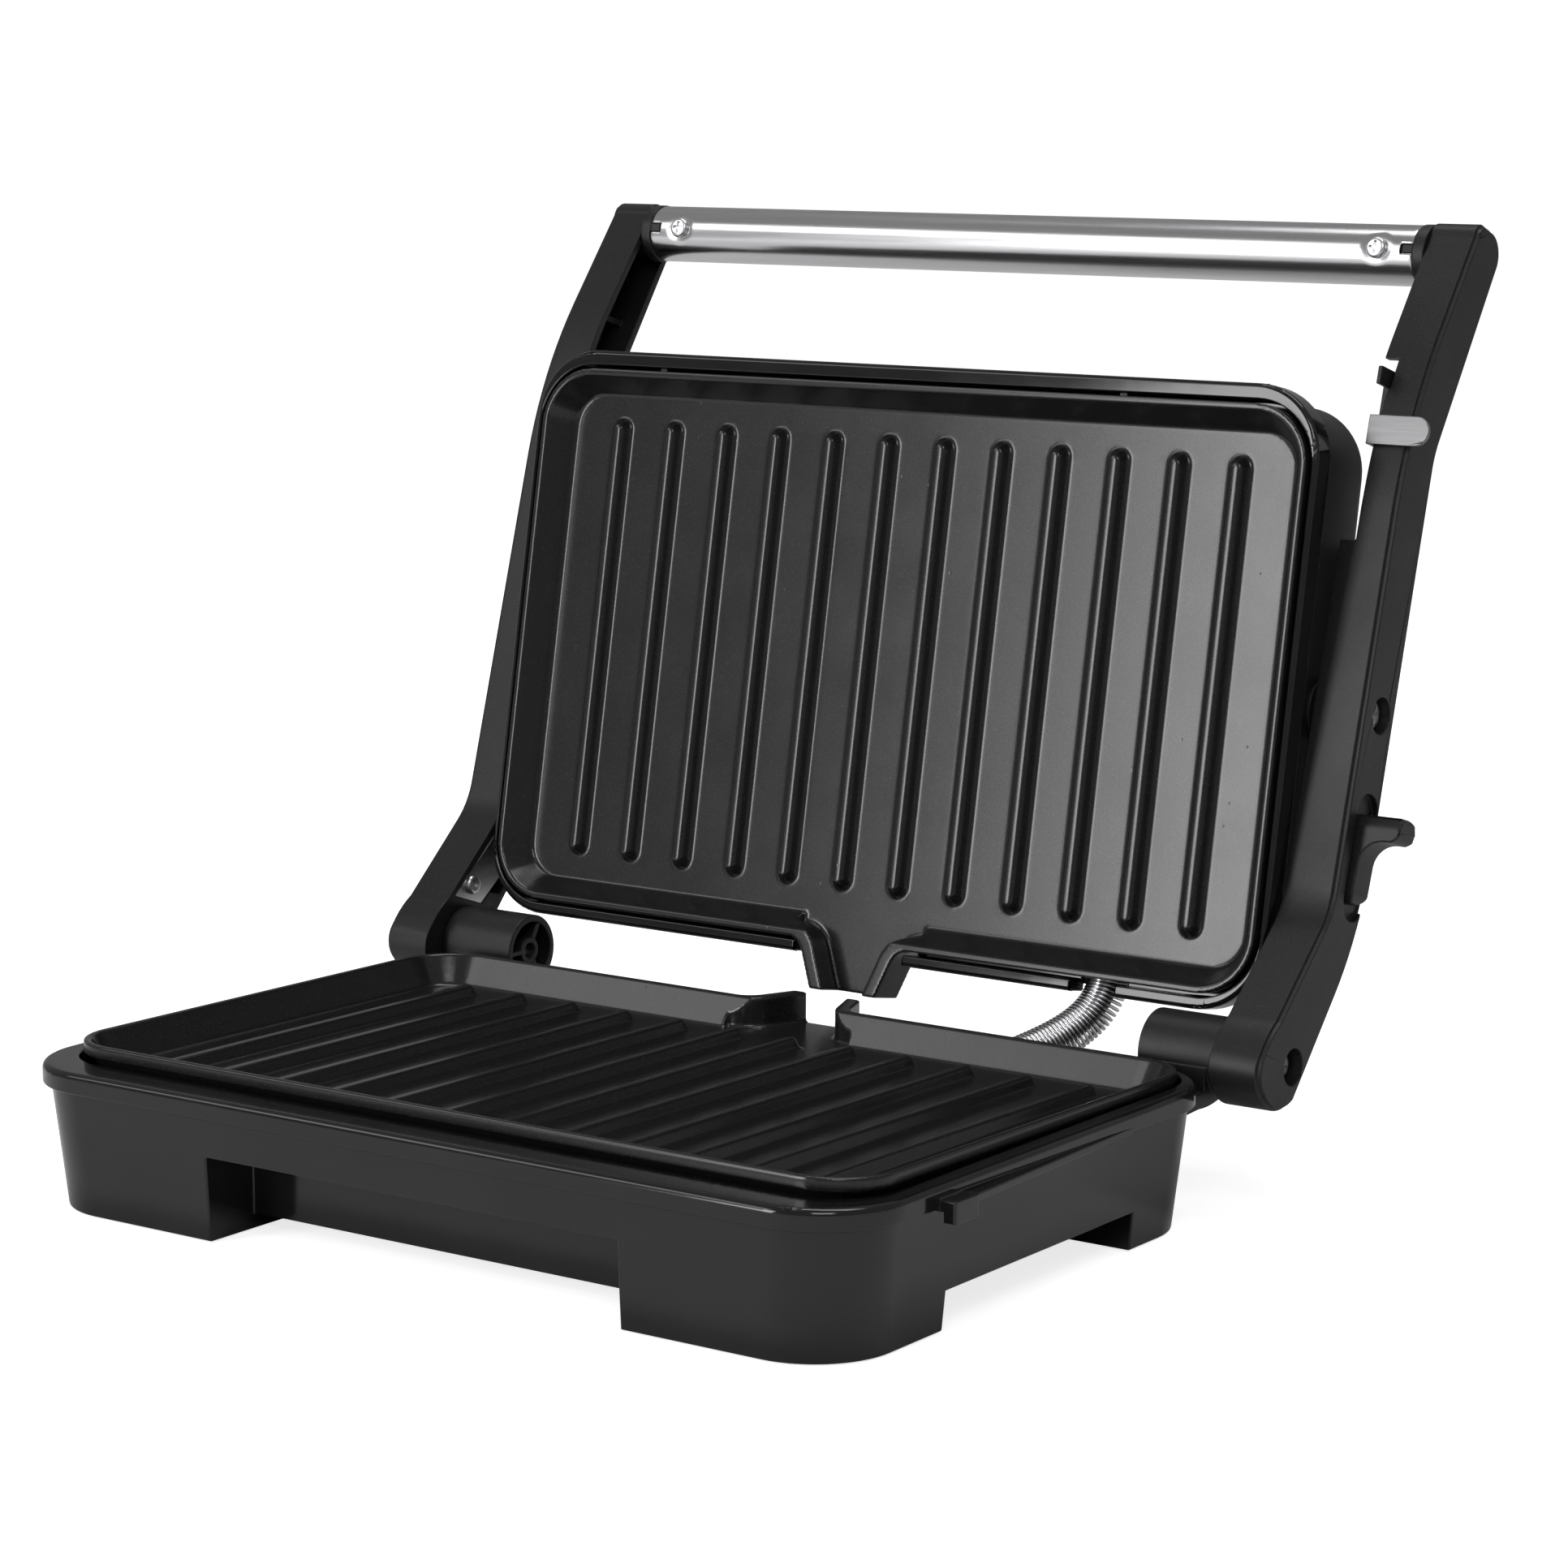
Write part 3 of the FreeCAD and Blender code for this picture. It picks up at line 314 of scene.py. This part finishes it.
def coloured(name, colour, rough, transmission=0.0):
    f = Finish(name, Transmission_Weight=transmission)
    dark = tuple(c * 0.8 for c in colour)
    f.colour(f.ramp(f.noise(90, 3), (0.3, dark), (0.7, colour)))
    f.roughness(f.remap(f.noise(200, 3), 0.3, 0.7, rough, rough + 0.08))
    f.bump((f.noise(900, 2), 0.00002, 0.15))
    return f.material


FINISHES = {
    "gloss_black": gloss_black(),
    "satin_black": satin_black("satin_black_moulding", 0.010, 0.42, 0.38),
    "nonstick": nonstick(),
    "rubber": satin_black("rubber_pad", 0.02, 0.8),
    "screw_steel": steel("zinc_screw", 0.72, 0.24, (1, 1, 1), 900),
    "element_steel": steel("heater_sheath", 0.25, 0.45, (1, 1, 1), 300),
    "sheet_steel": steel("sheet_steel", 0.6, 0.28, (0.2, 1, 1), 600),
    "spring_steel": steel("spring_wire", 0.80, 0.16, (1, 1, 1), 600),
    "polished_tube": steel("polished_tube", 0.66, 0.19, (0.02, 1, 1), 900, 0.05),
    "brushed_strap": steel("brushed_strap", 0.23, 0.32, (0.05, 1, 1), 1500, 0.14),
    "white_plastic": coloured("steatite", (0.8, 0.78, 0.72), 0.6),
    "green_lens": coloured("green_lens", (0.02, 0.35, 0.06), 0.12, 0.3),
    "red_lens": coloured("red_lens", (0.5, 0.02, 0.015), 0.12, 0.3),
}

# ---- pieces --------------------------------------------------------------------------


def dress(piece, slot):
    piece.data.materials.clear()
    piece.data.materials.append(FINISHES[slot])


def applied(piece):
    """Fix a piece's modifiers into its mesh."""
    bpy.context.view_layer.update()
    shaped = piece.evaluated_get(bpy.context.evaluated_depsgraph_get())
    data = bpy.data.meshes.new_from_object(shaped)
    piece.modifiers.clear()
    piece.data = data
    return piece


def rounded_copy(node, width, steps=3, from_angle=26):
    """A copy of a CAD node with its edges really rounded, in the node's place."""
    mesh = bmesh.new()
    mesh.from_mesh(NODES[node].data)
    bmesh.ops.remove_doubles(mesh, verts=mesh.verts, dist=2e-6)
    for face in mesh.faces:
        face.smooth = True
    data = bpy.data.meshes.new(node + "_rounded")
    mesh.to_mesh(data)
    skin = BVHTree.FromBMesh(mesh)
    mesh.free()
    piece = bpy.data.objects.new(node + "_rounded", data)
    bpy.context.scene.collection.objects.link(piece)
    bevel = piece.modifiers.new("round", "BEVEL")
    bevel.width = width
    bevel.segments = steps
    bevel.limit_method = "ANGLE"
    bevel.angle_limit = math.radians(from_angle)
    bevel.use_clamp_overlap = False
    applied(piece)
    for vertex in piece.data.vertices:
        spot, _, _, away = skin.find_nearest(vertex.co)
        if away > STRAY * width:
            vertex.co = spot
    normals = piece.modifiers.new("normals", "WEIGHTED_NORMAL")
    normals.weight = 100
    applied(piece)
    dress(piece, SLOT_OF[node])
    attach(piece, BODY_OF[node])
    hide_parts(node)
    return piece


def cast_copy(node, lean):
    """A copy of a tilted CAD casting with soft fillets, thinned where it is flat."""
    turn = Matrix.Rotation(lean, 4, "X")
    data = NODES[node].data.copy()
    data.name = node + "_cast"
    data.transform(turn.inverted())
    piece = bpy.data.objects.new(node + "_cast", data)
    bpy.context.scene.collection.objects.link(piece)
    skin = piece.modifiers.new("skin", "REMESH")
    skin.mode = "VOXEL"
    skin.voxel_size = CAST_VOXEL
    skin.use_smooth_shade = True
    fillet = piece.modifiers.new("fillet", "SMOOTH")
    fillet.factor = 0.5
    fillet.iterations = 3
    thin = piece.modifiers.new("thin", "DECIMATE")
    thin.ratio = CAST_KEPT
    applied(piece)
    piece.data.transform(turn)
    dress(piece, SLOT_OF[node])
    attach(piece, BODY_OF[node])
    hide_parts(node)
    return piece


# radius of the rounded edges, mm
EDGE_ROUNDING = {
    "lower_housing": 0.5, "lid_bezel": 0.45,
    "arm_right": 0.35, "arm_left": 0.35, "release_lever": 0.5,
    "latch_strap": 0.25, "latch_hook": 0.25, "hinge_bracket_right": 0.35,
    "hinge_bracket_left": 0.35, "handle_plugs": 0.3, "bottom_cover": 0.3, "cord_gland": 0.4,
    "pivot_bushes": 0.3, "rubber_feet": 0.3, "arm_strip_right": 0.2, "arm_strip_left": 0.2,
    "terminal_block": 0.5, "thermostat": 0.4,
}


def arm_point(x, a, m):
    """A point of the arm's frame, in the object's frame."""
    up, back = math.cos(ARM_LEAN), math.sin(ARM_LEAN)
    return HINGE + Vector((x, a * back - m * up, a * up + m * back))


def handle_tube():
    """Polished tube with dimples pressed in round its screws and a notch at each end."""
    notch = math.asin(NOTCH_HALF / TUBE_R)
    turns = [notch * i / 3 for i in range(-3, 3)]
    turns += [notch + (2 * math.pi - 2 * notch) * i / 90 for i in range(90)]
    ends = [TUBE_X - NOTCH_LONG * i / 4 for i in range(5)]
    fine = [SCREW_X + DIMPLE_R * 1.5 * (1 - i / 20) for i in range(41)]
    right = [TUBE_X - 0.3 * MM] + ends[1:] + [x for x in fine if x < ends[-1] - 0.1 * MM]
    right = [TUBE_X] + right + [right[-1] * (1 - i / 12) for i in range(1, 12)]
    stations = right + [0.0] + [-x for x in reversed(right)]
    vertices = []
    for x in stations:
        for turn in turns:
            across = TUBE_R * math.sin(turn)
            near = math.hypot(abs(x) - SCREW_X, across)
            radius = TUBE_R
            if math.cos(turn) > 0 and near < DIMPLE_R:
                radius -= DIMPLE_DEEP * (0.5 + 0.5 * math.cos(math.pi * near / DIMPLE_R)) ** 0.8
            if abs(x) == TUBE_X:
                radius -= END_ROUNDING
            a = HANDLE_A + radius * math.sin(turn)
            m = HANDLE_M + radius * math.cos(turn)
            vertices.append(arm_point(x, a, m))
    faces = []
    count = len(turns)
    for i in range(len(stations) - 1):
        middle = abs(stations[i] + stations[i + 1]) / 2
        for j in range(count):
            if j < 6 and middle > TUBE_X - NOTCH_LONG:
                continue
            k = (j + 1) % count
            faces.append((i * count + j, i * count + k, (i + 1) * count + k, (i + 1) * count + j))
    tube = new_piece("handle_tube_polished", vertices, faces)
    wall = tube.modifiers.new("wall", "SOLIDIFY")
    wall.thickness = TUBE_T
    wall.offset = -1
    applied(tube)
    dress(tube, SLOT_OF["handle_tube"])
    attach(tube, BODY_OF["handle_tube"])
    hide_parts("handle_tube")


def bezier(ends, t):
    a, b, c, d = ends
    s = 1 - t
    return a * s ** 3 + b * 3 * s * s * t + c * 3 * s * t * t + d * t ** 3


def carried_frames(points):
    """Two cross directions at each point of a path, without twist."""
    frames = []
    side = Vector((0, 0, 1))
    for i, point in enumerate(points):
        ahead = points[min(i + 1, len(points) - 1)] - points[max(i - 1, 0)]
        ahead.normalize()
        side = (side - ahead * side.dot(ahead)).normalized()
        frames.append((side.copy(), ahead.cross(side)))
    return frames


def swept(name, points, radius, sides):
    """Round rod along a path, closed at both ends."""
    vertices = []
    for point, (u, w) in zip(points, carried_frames(points)):
        for j in range(sides):
            angle = 2 * math.pi * j / sides
            vertices.append(point + (u * math.cos(angle) + w * math.sin(angle)) * radius)
    faces = []
    for i in range(len(points) - 1):
        for j in range(sides):
            k = (j + 1) % sides
            faces.append((i * sides + j, i * sides + k, (i + 1) * sides + k, (i + 1) * sides + j))
    last = (len(points) - 1) * sides
    faces.append(tuple(range(sides))[::-1])
    faces.append(tuple(last + j for j in range(sides)))
    return new_piece(name, vertices, faces)


def wiring_sleeve():
    """Close-wound spring over the leads, bending between base and lid."""
    samples = 400
    path = [bezier(SLEEVE_ROUTE, i / samples) for i in range(samples + 1)]
    reach = [0.0]
    for a, b in zip(path, path[1:]):
        reach.append(reach[-1] + (b - a).length)
    frames = carried_frames(path)
    steps = 18
    count = int(reach[-1] / WIRE_PITCH * steps)
    points = []
    i = 0
    for k in range(count + 1):
        along = reach[-1] * k / count
        while i < samples - 1 and reach[i + 1] < along:
            i += 1
        u, w = frames[i]
        angle = 2 * math.pi * k / steps
        share = (along - reach[i]) / (reach[i + 1] - reach[i])
        centre = path[i].lerp(path[i + 1], share)
        points.append(centre + (u * math.cos(angle) + w * math.sin(angle)) * SLEEVE_R)
    spring = swept("wiring_spring", points, WIRE_R, 7)
    dress(spring, SLOT_OF["wiring_conduit"])
    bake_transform(spring)
    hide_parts("wiring_conduit")
    for name, shift in (("lead_live", -1), ("lead_neutral", 1)):
        line = [p + w * (shift * LEAD_SPACING / 2) for p, (_, w) in zip(path[::10], frames[::10])]
        lead = swept(name, line, LEAD_R, 16)
        dress(lead, "satin_black")
        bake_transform(lead)


# ---- assembly ------------------------------------------------------------------------

add_camera()
add_studio()
for node, piece in NODES.items():
    dress(piece, SLOT_OF[node])
for node, width in EDGE_ROUNDING.items():
    rounded_copy(node, width * MM)
cast_copy("lower_grill_plate", -PLATE_SLOPE)
cast_copy("upper_grill_plate", math.pi / 2 - LID_LEAN)
handle_tube()
wiring_sleeve()
